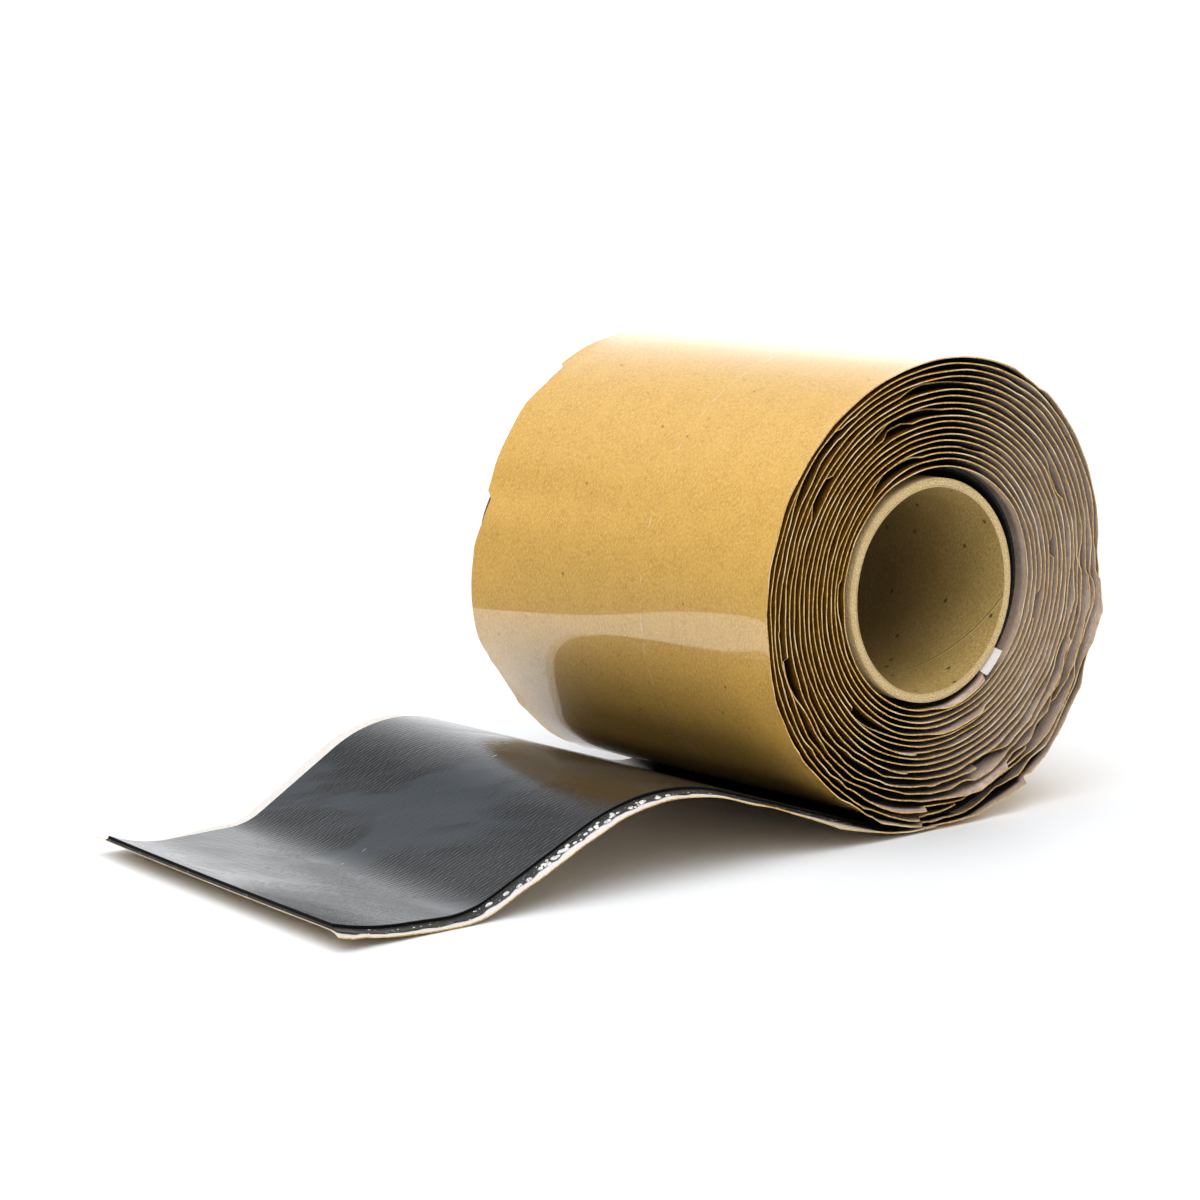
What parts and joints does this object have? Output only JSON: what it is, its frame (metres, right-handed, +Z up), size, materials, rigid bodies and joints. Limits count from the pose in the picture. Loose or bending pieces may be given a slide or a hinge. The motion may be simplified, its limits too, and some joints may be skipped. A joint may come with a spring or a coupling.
{
  "type": "rubber cover tape roll",
  "caption": "Roll of wide self-adhesive rubber repair tape on a cardboard core, with a kraft release liner and its free end paid out over a flat surface",
  "frame": {"origin": "centre of the cardboard core's bore, halfway along it", "axes": "+Y along the core's bore, +Z up, the free end of the tape leaves the bottom of the roll towards -X"},
  "size_m": [0.3533, 0.166, 0.174],
  "materials": {
    "core_board": "matte",
    "rubber": "satin",
    "adhesive": "tacky, rough where it is cut",
    "liner": "glossy outside, matte mauve-white inside"
  },
  "bodies": {
    "roll": {"rubber_wound": "rubber", "adhesive_wound": "adhesive", "liner_wound": "liner", "liner_start_fold": "liner"},
    "core": {"core_inside_ply": "core_board", "core_body_plies": "core_board", "core_outside_ply": "core_board"},
    "strip_rise": {"rubber_rise": "rubber", "adhesive_rise": "adhesive", "liner_rise": "liner"},
    "strip_fall": {"rubber_fall": "rubber", "adhesive_fall": "adhesive", "liner_fall": "liner"},
    "strip_tail": {"rubber_tail": "rubber", "adhesive_tail": "adhesive", "liner_tail": "liner"},
    "strip_tip": {"rubber_tip": "rubber", "adhesive_tip": "adhesive"}
  },
  "joints": [
    {"name": "core_turn", "type": "hinge", "parent": "roll", "child": "core", "pos_m": [0, 0, 0], "axis": [0, 1, 0], "continuous": true},
    {"name": "strip_lift", "type": "hinge", "parent": "roll", "child": "strip_rise", "pos_m": [-0.02376, 0, -0.08492], "axis": [0, 1, 0], "range_deg": [0, 12]},
    {"name": "crest_bend", "type": "hinge", "parent": "strip_rise", "child": "strip_fall", "pos_m": [-0.12931, 0, -0.05575], "axis": [0, 1, 0], "range_deg": [0, 40]},
    {"name": "tail_curl", "type": "hinge", "parent": "strip_fall", "child": "strip_tail", "pos_m": [-0.20055, 0, -0.08326], "axis": [0, 1, 0], "range_deg": [0, 50]},
    {"name": "tip_peel", "type": "hinge", "parent": "strip_tail", "child": "strip_tip", "pos_m": [-0.23514, 0, -0.08668], "axis": [0, 1, 0], "range_deg": [0, 60]}
  ]
}
